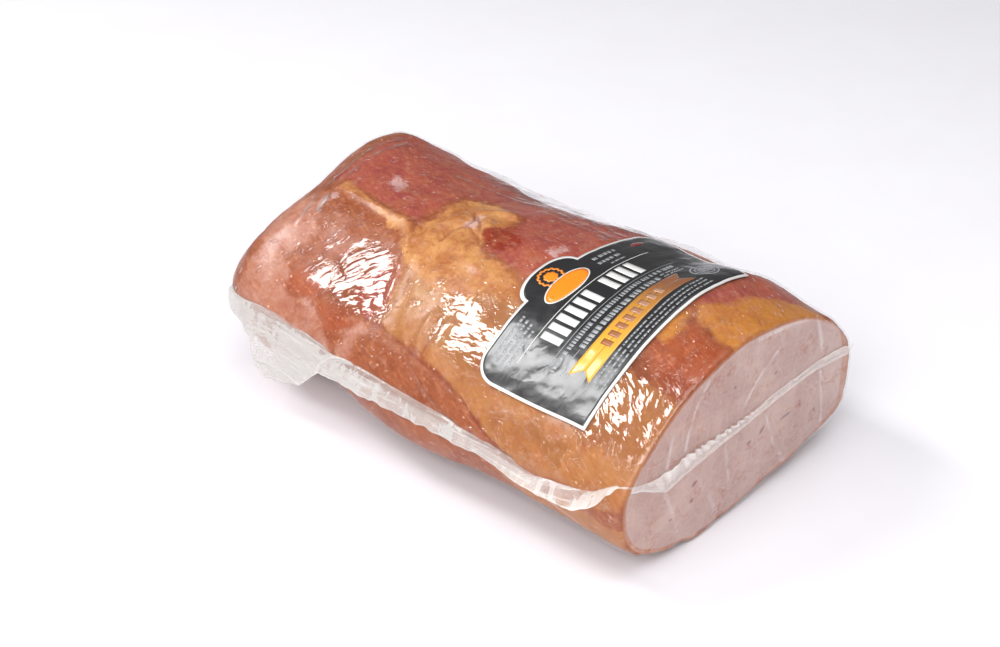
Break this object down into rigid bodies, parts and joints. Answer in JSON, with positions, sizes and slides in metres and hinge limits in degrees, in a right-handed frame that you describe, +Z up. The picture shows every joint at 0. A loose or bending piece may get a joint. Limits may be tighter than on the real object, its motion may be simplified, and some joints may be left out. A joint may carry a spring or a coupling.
{
  "type": "cooked pork loin",
  "caption": "Cooked boneless pork loin cut across at one end, vacuum packed in clear film with a hanging seam and a label over its crown.",
  "frame": {"origin": "on the surface that the pack lies on, under the middle of its bounding box", "axes": "+X along the loin towards its cut face, +Y towards its right side, +Z up through the crown"},
  "size_m": [0.2688, 0.1704, 0.0919],
  "materials": {
    "cooked_meat_in_film": "orange-brown fat and red-brown muscle under glossy clear film",
    "label": "dark printed label under glossy clear film"
  },
  "bodies": {
    "root": {"loin_in_film": "cooked_meat_in_film", "label": "label"}
  },
  "joints": []
}
